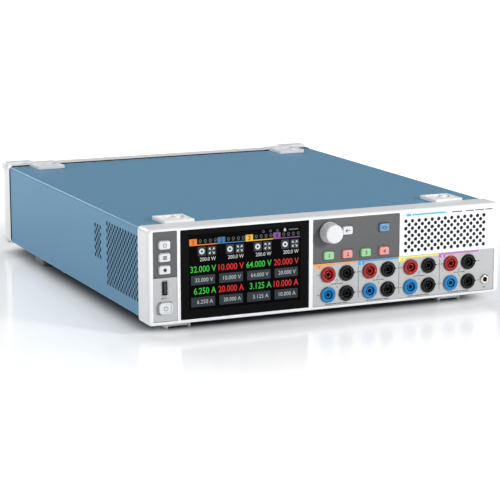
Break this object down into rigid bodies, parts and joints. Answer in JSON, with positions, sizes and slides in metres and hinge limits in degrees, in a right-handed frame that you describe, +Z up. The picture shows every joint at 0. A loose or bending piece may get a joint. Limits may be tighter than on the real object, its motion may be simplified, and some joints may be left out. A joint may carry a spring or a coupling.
{
  "type": "bench power supply",
  "caption": "Flat bench power supply with a colour display, push keys, turning knob, safety sockets, blue sleeve, fold-out tilt legs, stacking rests and rear mains inlet",
  "frame": {"origin": "on the bench top, under the middle of the overall box", "axes": "+X to the right seen from the front, +Y from the front face to the back, +Z up; the front faces -Y"},
  "size_m": [0.362, 0.46, 0.1],
  "materials": {
    "white_plastic": "fine moulded grain, satin",
    "dark_panel": "printed film, satin",
    "light_panel": "printed film, satin",
    "display_glass": "black-backed cover glass, polished",
    "lcd_metal": "folded sheet",
    "white_key": "satin, backlit print",
    "green_key": "lit green, satin",
    "red_key": "lit red, satin",
    "blue_key": "lit blue, satin",
    "white_knob": "satin, finely fluted",
    "nickel": "nickel plated",
    "black_plastic": "moulded, satin",
    "sleeve_paint": "powder coat, fine texture",
    "zinc_sheet": "zinc-plated sheet",
    "foot_plastic": "moulded, satin",
    "circuit_board": "solder-resist green",
    "aluminium_fins": "extruded",
    "green_plastic": "moulded terminal housing",
    "socket_red": "moulded, half gloss",
    "socket_blue": "moulded, half gloss",
    "socket_black": "moulded, half gloss"
  },
  "bodies": {
    "case": {"front_bezel": "white_plastic", "left_key_panel": "dark_panel", "left_port_panel": "light_panel", "control_panel": "dark_panel", "terminal_panel": "light_panel", "display_glass": "display_glass", "lcd_module": "lcd_metal", "encoder_body": "black_plastic", "usb_socket": "nickel", "earth_socket": "nickel", "case_sleeve": "sleeve_paint", "chassis_tray": "zinc_sheet", "rear_panel": "zinc_sheet", "rear_frame": "white_plastic", "top_rest_left": "white_plastic", "top_rest_right": "white_plastic", "front_foot_left": "foot_plastic", "front_foot_right": "foot_plastic", "rear_foot_left": "foot_plastic", "rear_foot_right": "foot_plastic", "front_board": "circuit_board", "main_board": "circuit_board", "mains_module": "zinc_sheet", "heat_sink": "aluminium_fins", "fan_frame": "black_plastic", "mains_inlet": "black_plastic", "rear_terminal_block": "green_plastic", "channel_1_plus_socket": "socket_red", "channel_1_minus_socket": "socket_blue", "channel_1_sense_plus_socket": "socket_black", "channel_1_sense_minus_socket": "socket_black", "channel_2_plus_socket": "socket_red", "channel_2_minus_socket": "socket_blue", "channel_2_sense_plus_socket": "socket_black", "channel_2_sense_minus_socket": "socket_black", "channel_3_plus_socket": "socket_red", "channel_3_minus_socket": "socket_blue", "channel_3_sense_plus_socket": "socket_black", "channel_3_sense_minus_socket": "socket_black", "channel_4_plus_socket": "socket_red", "channel_4_minus_socket": "socket_blue", "channel_4_sense_plus_socket": "socket_black", "channel_4_sense_minus_socket": "socket_black"},
    "home_key_body": {"home_key": "white_key"},
    "menu_key_body": {"menu_key": "white_key"},
    "settings_key_body": {"settings_key": "white_key"},
    "standby_key_body": {"standby_key": "white_key"},
    "back_key_body": {"back_key": "white_key"},
    "output_key_body": {"output_key": "blue_key"},
    "channel_1_key_body": {"channel_1_key": "green_key"},
    "channel_2_key_body": {"channel_2_key": "red_key"},
    "channel_3_key_body": {"channel_3_key": "green_key"},
    "channel_4_key_body": {"channel_4_key": "red_key"},
    "knob_plunger": {"encoder_plunger": "black_plastic"},
    "knob": {"rotary_knob": "white_knob", "encoder_shaft": "nickel"},
    "leg_left": {"tilt_leg_left": "foot_plastic"},
    "leg_right": {"tilt_leg_right": "foot_plastic"},
    "fan": {"fan_rotor": "black_plastic"},
    "rocker": {"mains_switch": "black_plastic"}
  },
  "joints": [
    {"name": "home_press", "type": "slide", "parent": "case", "child": "home_key_body", "axis": [0, 1, 0], "range_m": [0, 0.0012], "stiffness_N_per_m": 1200},
    {"name": "menu_press", "type": "slide", "parent": "case", "child": "menu_key_body", "axis": [0, 1, 0], "range_m": [0, 0.0012], "stiffness_N_per_m": 1200},
    {"name": "settings_press", "type": "slide", "parent": "case", "child": "settings_key_body", "axis": [0, 1, 0], "range_m": [0, 0.0012], "stiffness_N_per_m": 1200},
    {"name": "standby_press", "type": "slide", "parent": "case", "child": "standby_key_body", "axis": [0, 1, 0], "range_m": [0, 0.0012], "stiffness_N_per_m": 1200},
    {"name": "back_press", "type": "slide", "parent": "case", "child": "back_key_body", "axis": [0, 1, 0], "range_m": [0, 0.0012], "stiffness_N_per_m": 1200},
    {"name": "output_press", "type": "slide", "parent": "case", "child": "output_key_body", "axis": [0, 1, 0], "range_m": [0, 0.0012], "stiffness_N_per_m": 1200},
    {"name": "channel_1_press", "type": "slide", "parent": "case", "child": "channel_1_key_body", "axis": [0, 1, 0], "range_m": [0, 0.0012], "stiffness_N_per_m": 1200},
    {"name": "channel_2_press", "type": "slide", "parent": "case", "child": "channel_2_key_body", "axis": [0, 1, 0], "range_m": [0, 0.0012], "stiffness_N_per_m": 1200},
    {"name": "channel_3_press", "type": "slide", "parent": "case", "child": "channel_3_key_body", "axis": [0, 1, 0], "range_m": [0, 0.0012], "stiffness_N_per_m": 1200},
    {"name": "channel_4_press", "type": "slide", "parent": "case", "child": "channel_4_key_body", "axis": [0, 1, 0], "range_m": [0, 0.0012], "stiffness_N_per_m": 1200},
    {"name": "knob_press", "type": "slide", "parent": "case", "child": "knob_plunger", "axis": [0, 1, 0], "range_m": [0, 0.0005], "stiffness_N_per_m": 5000},
    {"name": "knob_turn", "type": "hinge", "parent": "knob_plunger", "child": "knob", "pos_m": [-0.0017, -0.223, 0.0826], "axis": [0, 1, 0], "continuous": true},
    {"name": "tilt_leg_left_fold", "type": "hinge", "parent": "case", "child": "leg_left", "pos_m": [-0.1415, -0.1876, 0.0039], "axis": [-1, 0, 0], "range_deg": [0, 100]},
    {"name": "tilt_leg_right_fold", "type": "hinge", "parent": "case", "child": "leg_right", "pos_m": [0.1415, -0.1876, 0.0039], "axis": [-1, 0, 0], "range_deg": [0, 100]},
    {"name": "fan_spin", "type": "hinge", "parent": "case", "child": "fan", "pos_m": [-0.12, 0.191, 0.055], "axis": [0, 1, 0], "continuous": true},
    {"name": "mains_switch_rock", "type": "hinge", "parent": "case", "child": "rocker", "pos_m": [0.142, 0.204, 0.069], "axis": [0, 0, 1], "range_deg": [0, 16]}
  ]
}
